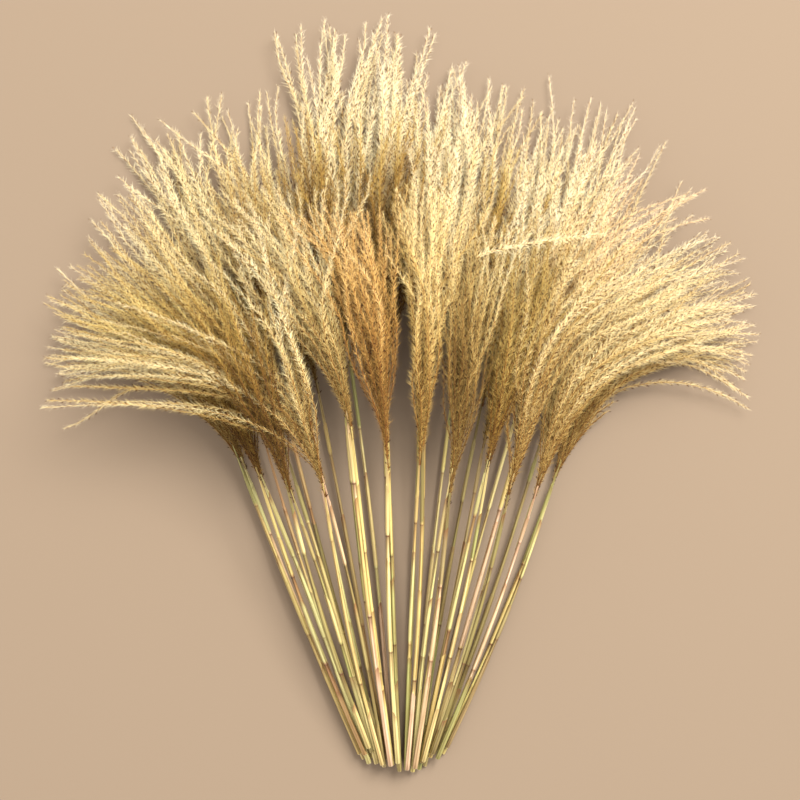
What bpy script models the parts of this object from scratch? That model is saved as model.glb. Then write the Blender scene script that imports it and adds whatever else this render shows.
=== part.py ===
"""A loose bunch of dried reed grass lying on a flat surface.

Thirty cut reeds lie in three fans, one on another. Each reed is a thin jointed stem and, on its
upper end, a soft seed plume that divides into long pointed locks. The stems come together at
the lower end, and the plumes spread out and droop to both sides.

Metres, +Z up. The bunch lies along +Y with its plumes at +Y. The origin is on the surface,
under the middle of the bunch's outline.
"""

import math
import random

import bmesh
import bpy
from mathutils import Vector

# The whole bunch. The neck is a line across the stems, a little above their cut ends, and its
# middle is placed so that the origin is under the middle of the bunch's outline.
NECK_X = 0.0018
NECK_Y = -0.170
NECK_HALF_WIDTH = 0.062
TAIL_LENGTH = 0.098
TAIL_HALF_WIDTH = 0.023
TAIL_STAGGER = 0.014
SEED = 382

# How the outer reeds droop, as paths measured from the neck.
DROOP = math.radians(76)
DROOP_POWER = 3.4
DROOP_START = 0.118
DROOP_LENGTH = 0.15
PATH_STEP = 0.008

# The reeds near this place across the fan are the tallest.
CREST_PLACE = -0.18
CREST_WIDTH = 0.15
CREST_RISE = 0.034

# One stem.
STEM_RADIUS = 0.0016
STEM_TOP_SHARE = 0.72
STEM_BOW = 0.0012
SIX_SIDED = 1
JOINT_SWELL = 1.3
JOINT_HALF_LENGTH = 0.0014
JOINT_PLACES = ((0.26, 0.44), (0.62, 0.84))
MEETING_GAP = 0.0003

# One plume. Widths and heights are half sizes, and shares are of the plume's length.
PLUME_HALF_WIDTH = 0.021
PLUME_HALF_HEIGHT = 0.0125
PLUME_BASE_HALF = 0.0017
PLUME_CLEARANCE = 0.0006
EDGE_THINNING = 0.85
BODY_SHARES = (0.0, 0.1, 0.22, 0.36, 0.5)
LOCKS = 5
LOCK_RINGS = 3
LOCK_TIP_HALF = 0.0008
LOCK_SHORTEST = 0.8

# How a plume lies on what is under it. Its middle sags to the square of the share.
PRESSED = 0.88
SAG = 0.020
LIFT = 0.004
PILE_GAP = 0.0012
HEIGHT_STEPS = 12

# The three fans, from the surface up. Each rise is the path from the neck to the plume, and
# each plume its length, in the middle of the fan and at its sides.
SIDE_POWER = 4
FANS = (
    dict(reeds=12, spread=1.0, cut_height=0.0016, foot_height=0.0060,
         rise=(0.185, 0.128), plume=(0.225, 0.172)),
    dict(reeds=10, spread=0.90, cut_height=0.0056, foot_height=0.0270,
         rise=(0.150, 0.118), plume=(0.225, 0.190)),
    dict(reeds=8, spread=0.72, cut_height=0.0096, foot_height=0.0450,
         rise=(0.114, 0.098), plume=(0.205, 0.195)),
)

STEM_COLOUR = (0.52, 0.43, 0.17, 1.0)
PLUME_COLOUR = (0.62, 0.47, 0.27, 1.0)


def clear_scene():
    for thing in list(bpy.data.objects):
        bpy.data.objects.remove(thing)


def plain_material(name, colour, roughness):
    material = bpy.data.materials.new(name)
    material.use_nodes = True
    shader = material.node_tree.nodes["Principled BSDF"]
    shader.inputs["Base Color"].default_value = colour
    shader.inputs["Roughness"].default_value = roughness
    shader.inputs["Metallic"].default_value = 0.0
    return material


def ease(share):
    share = min(1.0, max(0.0, share))
    return share * share * (3.0 - 2.0 * share)


def heading(outwards, path):
    """The direction of a reed's path, from +Y towards the side that it leans to."""
    lean = math.atan2((NECK_HALF_WIDTH - TAIL_HALF_WIDTH) * outwards, TAIL_LENGTH)
    droop = math.copysign(DROOP * abs(outwards) ** DROOP_POWER, outwards)
    return lean + droop * ease((path - DROOP_START) / DROOP_LENGTH)


def on_fan(outwards, path):
    """The point in plan at this path length from the neck. No two paths of a fan cross."""
    straight = min(path, DROOP_START)
    lean = heading(outwards, 0.0)
    x = NECK_X + NECK_HALF_WIDTH * outwards + straight * math.sin(lean)
    y = NECK_Y + straight * math.cos(lean)
    steps = max(0, math.ceil((path - straight) / PATH_STEP))
    for index in range(steps):
        length = (path - straight) / steps
        turned = heading(outwards, straight + (index + 0.5) * length)
        x += length * math.sin(turned)
        y += length * math.cos(turned)
    return x, y


def middle_to_side(sizes, outwards):
    return sizes[0] + (sizes[1] - sizes[0]) * min(1.0, abs(outwards) ** SIDE_POWER)


def crest(outwards):
    return CREST_RISE * math.exp(-((outwards - CREST_PLACE) / CREST_WIDTH) ** 2)


def lay_out_fan(fan, dice):
    """The reeds of one fan, left to right. Each has a strip of the fan to itself."""
    count = fan["reeds"]
    strip = 2.0 / (count - 1)
    edges = [-1.0 + strip * (index - 0.5) for index in range(count + 1)]
    edges = [fan["spread"] * (edge + strip * dice.uniform(-0.13, 0.13)) for edge in edges]
    reeds = []
    for left, right in zip(edges, edges[1:]):
        outwards = 0.5 * (left + right)
        reed = dict(
            fan=fan,
            outwards=outwards,
            half_strip=0.5 * (right - left),
            cut=-TAIL_LENGTH + dice.uniform(0.0, TAIL_STAGGER),
            rise=middle_to_side(fan["rise"], outwards) + crest(outwards) + dice.uniform(-0.016, 0.012),
            length=middle_to_side(fan["plume"], outwards) * dice.uniform(0.93, 1.0),
            joints=[dice.uniform(*places) for places in JOINT_PLACES],
            lift=dice.uniform(0.0, LIFT),
            bow=dice.uniform(-STEM_BOW, STEM_BOW),
            locks=[dice.uniform(LOCK_SHORTEST, 1.0) for _ in range(LOCKS)],
        )
        reed["locks"][dice.randrange(1, LOCKS - 1)] = 1.0
        reeds.append(reed)
    return reeds


def wanted_half_width(share):
    """A brush: thin at the stem, and widest from two thirds on."""
    opening = math.sin(0.5 * math.pi * min(1.0, share / 0.62)) ** 0.9
    return PLUME_BASE_HALF + (PLUME_HALF_WIDTH - PLUME_BASE_HALF) * opening


def half_height(share):
    swelling = ease(share / 0.42) * (1.0 - 0.62 * ease((share - 0.5) / 0.5))
    return PLUME_BASE_HALF + (PLUME_HALF_HEIGHT - PLUME_BASE_HALF) * swelling


def height(reed, share):
    """The height of the plume's middle above the surface, read from its table of heights."""
    at = min(1.0, max(0.0, share)) * HEIGHT_STEPS
    low = min(int(at), HEIGHT_STEPS - 1)
    return reed["heights"][low] + (reed["heights"][low + 1] - reed["heights"][low]) * (at - low)


def top_of_pile(reed, path, below):
    """The highest point of the plumes under this one, at this path length from the neck."""
    tops = [0.0]
    for other in below:
        share = (path - other["rise"]) / other["length"]
        apart = abs(other["outwards"] - reed["outwards"])
        if apart < other["half_strip"] + reed["half_strip"] and -0.05 < share < 1.05:
            share = min(1.0, max(0.0, share))
            tops.append(height(other, share) + half_height(share) + PILE_GAP)
    return max(tops)


def settle(reed, below):
    """Lays the plume down: it goes on in line with its stem, sags, and rests on the pile."""
    foot = reed["fan"]["foot_height"] + (reed["lift"] if below else 0.0)
    slope = (foot - reed["fan"]["cut_height"]) / (reed["rise"] - reed["cut"])
    reed["heights"] = []
    for step in range(HEIGHT_STEPS + 1):
        share = step / HEIGHT_STEPS
        free = foot + slope * share * reed["length"] - SAG * share * share
        pressed = 1.0 if below else PRESSED
        rest = top_of_pile(reed, reed["rise"] + share * reed["length"], below)
        reed["heights"].append(max(free, rest + pressed * half_height(share)))


def half_widths(reed, share):
    """The plume's half width at this share, and the same as a part of the whole fan."""
    path = reed["rise"] + MEETING_GAP + share * reed["length"]
    strip = reed["half_strip"]
    left = Vector(on_fan(reed["outwards"] - strip, path))
    right = Vector(on_fan(reed["outwards"] + strip, path))
    room = 0.5 * (right - left).length
    width = min(wanted_half_width(share), room - PLUME_CLEARANCE)
    return width, strip * width / room


def skin(reed, share, across, spread):
    """The upper and lower point of the plume's skin at this place across its width."""
    path = reed["rise"] + MEETING_GAP + share * reed["length"]
    x, y = on_fan(reed["outwards"] + across * spread, path)
    middle = height(reed, share)
    thickness = half_height(share) * math.sqrt(1.0 - EDGE_THINNING * min(1.0, across * across))
    return Vector((x, y, middle + thickness)), Vector((x, y, max(0.0, middle - thickness)))


def join_rings(mesh, near, far):
    for index in range(len(near) - 1):
        mesh.faces.new((near[index][0], near[index + 1][0], far[index + 1][0], far[index][0]))
        mesh.faces.new((near[index][1], far[index][1], far[index + 1][1], near[index + 1][1]))
    for edge in (0, -1):
        mesh.faces.new((near[edge][0], far[edge][0], far[edge][1], near[edge][1]))


def close_ring(mesh, ring):
    for left, right in zip(ring, ring[1:]):
        mesh.faces.new((left[0], left[1], right[1], right[0]))


def grow_lock(mesh, reed, root, index):
    """One tapering lock, from its share of the body's end to a fine tip."""
    middle = -1.0 + (2.0 * index + 1.0) / LOCKS
    start = BODY_SHARES[-1]
    near = root
    for ring in range(1, LOCK_RINGS + 1):
        grown = ring / LOCK_RINGS
        share = start + (reed["locks"][index] - start) * grown
        width, spread = half_widths(reed, share)
        half = max(LOCK_TIP_HALF, width / LOCKS * (1.0 - 0.92 * grown ** 2.2)) / width
        far = []
        for across in (middle - half, middle + half):
            top, low = skin(reed, share, across, spread)
            heart = (top + low) / 2.0
            kept = max(2.0 * LOCK_TIP_HALF / (top - low).length, 1.0 - 0.85 * grown ** 1.5)
            far.append((mesh.verts.new(heart.lerp(top, kept)), mesh.verts.new(heart.lerp(low, kept))))
        join_rings(mesh, near, far)
        near = far
    close_ring(mesh, near)


def make_plume(name, reed, material):
    """A lens-shaped body from the stem up, whose end divides side by side into the locks."""
    mesh = bmesh.new()
    rings = []
    for share in BODY_SHARES:
        _, spread = half_widths(reed, share)
        pairs = [skin(reed, share, -1.0 + 2.0 * index / LOCKS, spread) for index in range(LOCKS + 1)]
        rings.append([(mesh.verts.new(top), mesh.verts.new(low)) for top, low in pairs])
    close_ring(mesh, rings[0])
    for near, far in zip(rings, rings[1:]):
        join_rings(mesh, near, far)
    for index in range(LOCKS):
        grow_lock(mesh, reed, rings[-1][index:index + 2], index)
    bmesh.ops.recalc_face_normals(mesh, faces=mesh.faces)
    data = bpy.data.meshes.new(name)
    mesh.to_mesh(data)
    mesh.free()
    data.materials.append(material)
    return bpy.data.objects.new(name, data)


def make_stem(name, reed, material):
    """A tapering cane from its cut end to the plume, slightly bowed, with swollen joints."""
    start = Vector((*on_fan(reed["outwards"], reed["cut"]), reed["fan"]["cut_height"]))
    end = Vector((*on_fan(reed["outwards"], reed["rise"]), reed["heights"][0]))
    along = (end - start).normalized()
    sideways = along.cross(Vector((0.0, 0.0, 1.0))).normalized()
    half = JOINT_HALF_LENGTH / (end - start).length
    marks = [(0.0, 1.0)]
    for joint in reed["joints"]:
        marks += [(joint - half, 1.0), (joint, JOINT_SWELL), (joint + half, 1.0)]
    marks.append((1.0, 1.0))
    data = bpy.data.curves.new(name, "CURVE")
    data.dimensions = "3D"
    data.bevel_depth = STEM_RADIUS
    data.bevel_resolution = SIX_SIDED
    data.use_fill_caps = True
    line = data.splines.new("POLY")
    line.points.add(len(marks) - 1)
    for point, (share, swell) in zip(line.points, marks):
        place = start.lerp(end, share) + sideways * (reed["bow"] * math.sin(math.pi * share))
        point.co = (*place, 1.0)
        point.radius = swell * (1.0 + (STEM_TOP_SHARE - 1.0) * share)
    data.materials.append(material)
    return bpy.data.objects.new(name, data)


def main():
    clear_scene()
    bunch = bpy.data.collections.new("bunch_of_reeds")
    bpy.context.scene.collection.children.link(bunch)
    stem_material = plain_material("dry_stem", STEM_COLOUR, 0.45)
    plume_material = plain_material("dry_plume", PLUME_COLOUR, 0.9)
    dice = random.Random(SEED)
    reeds = []
    for fan in FANS:
        below = list(reeds)
        for reed in lay_out_fan(fan, dice):
            settle(reed, below)
            reeds.append(reed)
    for number, reed in enumerate(reeds, 1):
        bunch.objects.link(make_stem(f"stem_{number:02d}", reed, stem_material))
        bunch.objects.link(make_plume(f"plume_{number:02d}", reed, plume_material))


main()
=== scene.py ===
# %% [markdown]
# # A bunch of dried reed grass
#
# The real bunch is about forty cut reeds. Each is a slim jointed cane with one silky plume, and a
# plume is some thirty long racemes: threads with brown husks on them and pale hair that is combed
# forward. This lesson dresses a plain solid model of the bunch, cane by cane and plume by plume,
# so that it can be looked at from close by.

# %% The frame that everything is fitted to
import math
import random

import bpy
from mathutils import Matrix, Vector


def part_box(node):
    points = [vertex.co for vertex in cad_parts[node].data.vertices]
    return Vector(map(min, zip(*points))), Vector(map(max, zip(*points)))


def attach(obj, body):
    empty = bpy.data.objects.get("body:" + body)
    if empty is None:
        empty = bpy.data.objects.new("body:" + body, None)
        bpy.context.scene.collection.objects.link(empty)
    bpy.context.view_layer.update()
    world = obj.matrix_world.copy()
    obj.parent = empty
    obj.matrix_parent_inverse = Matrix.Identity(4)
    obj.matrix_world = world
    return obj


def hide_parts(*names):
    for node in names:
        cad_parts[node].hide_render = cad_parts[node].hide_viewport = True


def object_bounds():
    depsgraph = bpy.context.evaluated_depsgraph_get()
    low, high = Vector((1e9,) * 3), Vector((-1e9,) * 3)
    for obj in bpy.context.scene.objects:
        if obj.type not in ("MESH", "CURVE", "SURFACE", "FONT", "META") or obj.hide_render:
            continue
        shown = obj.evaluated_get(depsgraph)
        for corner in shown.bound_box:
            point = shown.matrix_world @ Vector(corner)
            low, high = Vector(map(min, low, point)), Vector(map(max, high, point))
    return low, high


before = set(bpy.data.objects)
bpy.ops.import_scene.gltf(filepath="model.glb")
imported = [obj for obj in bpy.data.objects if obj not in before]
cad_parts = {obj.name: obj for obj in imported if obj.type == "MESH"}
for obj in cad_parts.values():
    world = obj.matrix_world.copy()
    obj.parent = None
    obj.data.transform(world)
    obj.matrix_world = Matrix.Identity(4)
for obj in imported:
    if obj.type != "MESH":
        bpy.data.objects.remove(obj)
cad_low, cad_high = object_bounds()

print("solid model, lowest and highest corner:", tuple(cad_low), tuple(cad_high))

# %% [markdown]
# ## The camera, the floor and the light
#
# The bunch lies down, so the camera hangs straight over it, with the plumes towards the top of the
# picture. A long lens from well above keeps the canes from leaning apart at the edges. The floor
# is pale and plain, in a warm sand colour. One big soft lamp shines from beyond the plumes and to
# the right, a weak one fills in from the other side, and the sky gives the rest.

# %% Camera
PICTURE_WIDTH = 0.560
LENS = 85.0
SENSOR = 36.0


def put(name, data):
    """A new object in the scene."""
    thing = bpy.data.objects.new(name, data)
    bpy.context.scene.collection.objects.link(thing)
    return thing


middle = 0.5 * (cad_low + cad_high)
camera = put("camera", bpy.data.cameras.new("camera"))
camera.data.lens = LENS
camera.data.sensor_width = SENSOR
camera.location = (middle.x, middle.y, middle.z + PICTURE_WIDTH * LENS / SENSOR)
bpy.context.scene.camera = camera
print("camera height:", round(camera.location.z, 3), "m")


# %% Floor, lamps and sky
FLOOR_HALF = 4.0
FLOOR_PAINT = {"Base Color": (0.222, 0.164, 0.118, 1.0), "Roughness": 0.9}
LAMPS = (
    dict(name="key", place=(1.75, 2.00, 2.85), size=2.1, power=350.0, colour=(1.0, 0.98, 0.90)),
    dict(name="fill", place=(-1.3, -0.5, 1.5), size=1.6, power=11.0, colour=(1.0, 0.94, 0.86)),
)
SKY = {"Color": (1.0, 0.945, 0.85, 1.0), "Strength": 0.99}


def set_sockets(node, values):
    for name, value in values.items():
        node.inputs[name].default_value = value


def lay_floor():
    data = bpy.data.meshes.new("floor")
    signs = ((-1, -1), (1, -1), (1, 1), (-1, 1))
    corners = [(x * FLOOR_HALF, y * FLOOR_HALF, 0) for x, y in signs]
    data.from_pydata(corners, [], [(0, 1, 2, 3)])
    floor = put("floor", data)
    paint = bpy.data.materials.new("floor_paint")
    paint.use_nodes = True
    set_sockets(paint.node_tree.nodes["Principled BSDF"], FLOOR_PAINT)
    data.materials.append(paint)


def hang_lamp(name, place, size, power, colour):
    data = bpy.data.lights.new(name, "AREA")
    data.size = size
    data.energy = power
    data.color = colour
    lamp = put(name, data)
    lamp.location = place
    lamp.rotation_euler = (middle - lamp.location).to_track_quat("-Z", "Y").to_euler()


lay_floor()
for lamp in LAMPS:
    hang_lamp(**lamp)
world = bpy.data.worlds.new("sky")
world.use_nodes = True
set_sockets(world.node_tree.nodes["Background"], SKY)
bpy.context.scene.world = world
bpy.context.scene.view_settings.view_transform = "Standard"
print("lamps:", [lamp["name"] for lamp in LAMPS])

# %% [markdown]
# ## How the reeds lie
#
# The reeds lie in three fans, one on another. In each fan every reed has a strip to itself, and the
# strips bend outwards towards the sides. The plain model works its places out by this rule, and
# it is written again here, with the same numbers and the same order of random draws, because a
# rule can be asked for any point inside a plume, and that is what the racemes need.

# %% Driving sizes of the fans
NECK_X = 0.0018
NECK_Y = -0.170
NECK_HALF_WIDTH = 0.062
TAIL_LENGTH = 0.098
TAIL_HALF_WIDTH = 0.023
TAIL_STAGGER = 0.014
SEED = 382
DROOP = math.radians(76)
DROOP_POWER = 3.4
DROOP_START = 0.118
DROOP_LENGTH = 0.15
PATH_STEP = 0.008
CREST_PLACE = -0.18
CREST_WIDTH = 0.15
CREST_RISE = 0.034
SIDE_POWER = 4
JOINT_PLACES = ((0.26, 0.44), (0.62, 0.84))
STEM_RADIUS = 0.0016
STEM_TOP_SHARE = 0.72
STEM_BOW = 0.0012
MEETING_GAP = 0.0003
LIFT = 0.004
LOCKS = 5
LOCK_SHORTEST = 0.8
EDGE_PLAY = 0.13
RISE_PLAY = (-0.016, 0.012)
LENGTH_PLAY = (0.93, 1.0)
FANS = (
    dict(reeds=12, spread=1.0, cut_height=0.0016, foot_height=0.0060,
         rise=(0.185, 0.128), plume=(0.225, 0.172)),
    dict(reeds=10, spread=0.90, cut_height=0.0056, foot_height=0.0270,
         rise=(0.150, 0.118), plume=(0.225, 0.190)),
    dict(reeds=8, spread=0.72, cut_height=0.0096, foot_height=0.0450,
         rise=(0.114, 0.098), plume=(0.205, 0.195)),
)


# %% A point of a fan in plan
def clamp(share):
    return min(1.0, max(0.0, share))


def between(first, second, share):
    return first + (second - first) * share


def ease(share):
    share = clamp(share)
    return share * share * (3.0 - 2.0 * share)


def late(share, start):
    """Nothing up to the start, and eased to one from there."""
    return ease((share - start) / (1.0 - start))


def steps(count):
    """So many shares from 0 to 1, evenly spaced."""
    return [index / (count - 1) for index in range(count)]


def heading(outwards, path):
    """The direction of a reed's path, from +Y towards the side that it leans to."""
    lean = math.atan2((NECK_HALF_WIDTH - TAIL_HALF_WIDTH) * outwards, TAIL_LENGTH)
    droop = math.copysign(DROOP * abs(outwards) ** DROOP_POWER, outwards)
    return lean + droop * ease((path - DROOP_START) / DROOP_LENGTH)


def on_fan(outwards, path):
    """The point in plan at this path length from the neck. No two paths of a fan cross."""
    straight = min(path, DROOP_START)
    lean = heading(outwards, 0.0)
    x = NECK_X + NECK_HALF_WIDTH * outwards + straight * math.sin(lean)
    y = NECK_Y + straight * math.cos(lean)
    count = max(0, math.ceil((path - straight) / PATH_STEP))
    for index in range(count):
        length = (path - straight) / count
        turned = heading(outwards, straight + (index + 0.5) * length)
        x += length * math.sin(turned)
        y += length * math.cos(turned)
    return x, y


# %% The reeds of one fan
def middle_to_side(sizes, outwards):
    return between(*sizes, min(1.0, abs(outwards) ** SIDE_POWER))


def crest(outwards):
    return CREST_RISE * math.exp(-((outwards - CREST_PLACE) / CREST_WIDTH) ** 2)


def lay_out_fan(fan, dice):
    """The reeds of one fan, left to right. Each has a strip of the fan to itself."""
    strip = 2.0 / (fan["reeds"] - 1)
    edges = [-1.0 + strip * (index - 0.5) for index in range(fan["reeds"] + 1)]
    edges = [fan["spread"] * (edge + strip * dice.uniform(-EDGE_PLAY, EDGE_PLAY)) for edge in edges]
    reeds = []
    for left, right in zip(edges, edges[1:]):
        outwards = 0.5 * (left + right)
        reed = dict(
            fan=fan,
            outwards=outwards,
            half_strip=0.5 * (right - left),
            cut=-TAIL_LENGTH + dice.uniform(0.0, TAIL_STAGGER),
            rise=middle_to_side(fan["rise"], outwards) + crest(outwards) + dice.uniform(*RISE_PLAY),
            length=middle_to_side(fan["plume"], outwards) * dice.uniform(*LENGTH_PLAY),
            joints=[dice.uniform(*places) for places in JOINT_PLACES],
            lift=dice.uniform(0.0, LIFT),
            bow=dice.uniform(-STEM_BOW, STEM_BOW),
            locks=[dice.uniform(LOCK_SHORTEST, 1.0) for _ in range(LOCKS)],
        )
        reed["locks"][dice.randrange(1, LOCKS - 1)] = 1.0
        reeds.append(reed)
    return reeds


# %% How thick a plume is, and how it settles on the pile
PLUME_HALF_WIDTH = 0.021
PLUME_HALF_HEIGHT = 0.0125
PLUME_BASE_HALF = 0.0017
PLUME_CLEARANCE = 0.0006
EDGE_THINNING = 0.85
PRESSED = 0.88
SAG = 0.020
PILE_GAP = 0.0012
HEIGHT_STEPS = 12
OPEN_AT = 0.62
OPENING_POWER = 0.9
THICKEST_AT = 0.42
TIP_THINNING = 0.62
THINNING_FROM = 0.5
ENDS_REACH = 0.05


def wanted_half_width(share):
    opening = math.sin(0.5 * math.pi * clamp(share / OPEN_AT)) ** OPENING_POWER
    return between(PLUME_BASE_HALF, PLUME_HALF_WIDTH, opening)


def half_height(share):
    swelling = ease(share / THICKEST_AT) * (1.0 - TIP_THINNING * late(share, THINNING_FROM))
    return between(PLUME_BASE_HALF, PLUME_HALF_HEIGHT, swelling)


def height(reed, share):
    """The height of the plume's middle above the surface, read from its table of heights."""
    at = clamp(share) * HEIGHT_STEPS
    low = min(int(at), HEIGHT_STEPS - 1)
    return between(*reed["heights"][low:low + 2], at - low)


def top_of_pile(reed, path, below):
    tops = [0.0]
    for other in below:
        share = (path - other["rise"]) / other["length"]
        apart = abs(other["outwards"] - reed["outwards"])
        near = apart < other["half_strip"] + reed["half_strip"]
        if near and -ENDS_REACH < share < 1.0 + ENDS_REACH:
            share = clamp(share)
            tops.append(height(other, share) + half_height(share) + PILE_GAP)
    return max(tops)


def settle(reed, below):
    foot = reed["fan"]["foot_height"] + (reed["lift"] if below else 0.0)
    slope = (foot - reed["fan"]["cut_height"]) / (reed["rise"] - reed["cut"])
    pressed = 1.0 if below else PRESSED
    reed["heights"] = []
    for share in steps(HEIGHT_STEPS + 1):
        free = foot + slope * share * reed["length"] - SAG * share * share
        rest = top_of_pile(reed, reed["rise"] + share * reed["length"], below)
        reed["heights"].append(max(free, rest + pressed * half_height(share)))


# %% All thirty places, set against the frame
def lay_out_bunch():
    dice = random.Random(SEED)
    reeds = []
    for fan in FANS:
        below = list(reeds)
        for reed in lay_out_fan(fan, dice):
            settle(reed, below)
            reeds.append(reed)
    for number, reed in enumerate(reeds, 1):
        reed["number"] = number
        reed["start"] = Vector((*on_fan(reed["outwards"], reed["cut"]), reed["fan"]["cut_height"]))
        reed["end"] = Vector((*on_fan(reed["outwards"], reed["rise"]), reed["heights"][0]))
    return reeds


def away_from_frame(reed):
    """How far the middle of this stem's box is from the middle of its line."""
    low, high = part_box(f"stem_{reed['number']:02d}")
    return (0.5 * (low + high) - 0.5 * (reed["start"] + reed["end"])).length


reeds = lay_out_bunch()
print("reeds:", len(reeds), "furthest from the frame:", max(map(away_from_frame, reeds)), "m")


# %% A point inside a plume
def place_in_plume(reed, share, across, up):
    """The place at a share of the plume's length, a part of its half width and of its half height."""
    path = reed["rise"] + MEETING_GAP + share * reed["length"]
    strip = reed["half_strip"]
    left = Vector(on_fan(reed["outwards"] - strip, path))
    right = Vector(on_fan(reed["outwards"] + strip, path))
    room = 0.5 * (right - left).length
    width = min(wanted_half_width(share), room - PLUME_CLEARANCE)
    centre = Vector(on_fan(reed["outwards"], path))
    sideways = (right - left).normalized()
    flat = centre + sideways * (across * width)
    thickness = half_height(share) * math.sqrt(1.0 - EDGE_THINNING * min(1.0, across * across))
    return Vector((flat.x, flat.y, height(reed, share) + up * thickness))


# %% [markdown]
# ## Shader maths that reads like arithmetic
#
# A node tree soon turns into pages of calls. One small class wraps a socket, so that Python's own
# operators add the Math nodes, and one method makes every other node from the values or wires of
# its sockets and its settings by name. A second one passes a shape on to the next node.

# %% A wire of a node tree
def both_ways(operation):
    """A method for one of Python's operators, and its reflected form, as in 1 - mask."""
    def plain(self, other):
        return self.maths(operation, self, other)

    def reflected(self, other):
        return self.maths(operation, other, self)

    return plain, reflected


class Wire:
    __add__, __radd__ = both_ways("ADD")
    __sub__, __rsub__ = both_ways("SUBTRACT")
    __mul__, __rmul__ = both_ways("MULTIPLY")
    __truediv__, __rtruediv__ = both_ways("DIVIDE")
    __mod__, __rmod__ = both_ways("MODULO")

    def __init__(self, tree, socket=None):
        self.tree = tree
        self.socket = socket

    @staticmethod
    def pick(sockets, key):
        """A socket by number or name. Of several with one name, the settings leave one on."""
        if isinstance(key, int):
            return sockets[key]
        return next(socket for socket in sockets if socket.name == key and socket.enabled)

    def make(self, kind, inputs=None, **settings):
        """A new node. Its settings go first, because they decide which sockets it has."""
        node = self.tree.nodes.new(kind)
        for name, value in settings.items():
            if name == "stops":
                set_stops(node.color_ramp, value)
            else:
                setattr(node, name, value)
        for name, value in (inputs or {}).items():
            socket = self.pick(node.inputs, name)
            for source in value if isinstance(value, list) else [value]:
                if isinstance(source, Wire):
                    source.into(socket)
                else:
                    socket.default_value = source
        live = [socket for socket in node.outputs if socket.enabled]
        return Wire(self.tree, live[0]) if live else Wire(self.tree)

    def then(self, kind, inputs=None, **settings):
        """The geometry node that this shape goes into, by its first socket."""
        return self.make("GeometryNode" + kind, {0: self, **(inputs or {})}, **settings)

    def of(self, name):
        """Another output of the same node."""
        return Wire(self.tree, self.pick(self.socket.node.outputs, name))

    def maths(self, operation, *terms):
        return self.make("ShaderNodeMath", dict(enumerate(terms)), operation=operation)

    def vectors(self, operation, *terms):
        return self.make("ShaderNodeVectorMath", dict(enumerate(terms)), operation=operation)

    def stretch(self, by):
        """This vector times a number."""
        return self.make("ShaderNodeVectorMath", {0: self, "Scale": by}, operation="SCALE")

    def into(self, socket):
        self.tree.links.new(self.socket, socket)


def set_stops(ramp, stops):
    while len(ramp.elements) > 1:
        ramp.elements.remove(ramp.elements[-1])
    ramp.elements[0].position, ramp.elements[0].color = stops[0]
    for place, colour in stops[1:]:
        ramp.elements.new(place).color = colour


# %% Colours as they look on a screen
def screen(red, green, blue):
    """A colour given as it looks, turned into linear light by the curve that screens share."""
    parts = (red, green, blue)
    return (*((c / 12.92 if c <= 0.04045 else ((c + 0.055) / 1.055) ** 2.4) for c in parts), 1.0)


# %% [markdown]
# ## One tree that grows every raceme
#
# A raceme is a thread with a husk every three millimetres and fine hair all along: the same small
# things hundreds of thousands of times, along paths, which is a job for Geometry Nodes. The tree
# takes guide lines that carry three numbers at each point: how far along the plume it is, how
# thick the thread is and how large the hair is. A hair is one sliver of a triangle and a husk one
# flat kite, because at this number they can't have more. Hairs stand in tufts of three, and there
# are eight kinds of tuft, so that no pattern shows.
#
# The tree also writes the UV map. Across the map runs how far along the plume a piece lies, and up
# the map run three bands, for threads, husks and hairs. A material can then paint a husk from end
# to end while it still knows where on the plume it is.

# %% The sizes that the tree is given
TUFT = {
    "Pitch": 0.00076,
    "Husk pitch": 0.0029,
    "Lean": math.radians(19),
    "Husk lean": math.radians(31),
    "Husk length": 0.0032,
    "Husk radius": 0.00045,
    "Hairs": 3,
    "Hair length": 0.0080,
    "Hair width": 0.00025,
    "Hair spread": math.radians(44),
    "Lowest": 0.0003,
    "Seed": 0,
}
FULL_TURN = 2.0 * math.pi
QUARTER_TURN = 0.5 * math.pi


def new_tree(name, sizes):
    """A tree with an input for the guide lines, one for each size, and one for the material."""
    kinds = {size: "Int" if isinstance(value, int) else "Float" for size, value in sizes.items()}
    tree = bpy.data.node_groups.new(name, "GeometryNodeTree")
    for socket, kind in {"Geometry": "Geometry", **kinds, "Material": "Material"}.items():
        tree.interface.new_socket(socket, in_out="INPUT", socket_type="NodeSocket" + kind)
    tree.interface.new_socket("Geometry", in_out="OUTPUT", socket_type="NodeSocketGeometry")
    return Wire(tree).make("NodeGroupInput")


# %% Small helpers for its nodes
def combine(x, y, z):
    bench = next(part for part in (x, y, z) if isinstance(part, Wire))
    return bench.make("ShaderNodeCombineXYZ", {"X": x, "Y": y, "Z": z})


def named(bench, name, kind="FLOAT"):
    return bench.make("GeometryNodeInputNamedAttribute", {"Name": name}, data_type=kind)


def store(shape, name, value, domain="POINT", kind="FLOAT"):
    values = {"Name": name, "Value": value}
    return shape.then("StoreNamedAttribute", values, data_type=kind, domain=domain)


def chance(given, low, high, seed):
    """A random number for each thing. Each use has a seed of its own, on top of the tree's."""
    kind = "INT" if isinstance(low, int) else "FLOAT"
    values = {"Min": low, "Max": high, "Seed": given.of("Seed") + seed}
    return given.make("FunctionNodeRandomValue", values, data_type=kind)


def place_parts(bench):
    return bench.make("ShaderNodeSeparateXYZ", {"Vector": bench.make("GeometryNodeInputPosition")})


# %% A hair and a husk, standing on their ends
THREAD_BAND = (0.02, 0.28)
HUSK_BAND = (0.35, 0.28)
HAIR_BAND = (0.68, 0.30)
BAND_SLACK = 0.01
HUSK_STALK = 0.50


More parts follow.
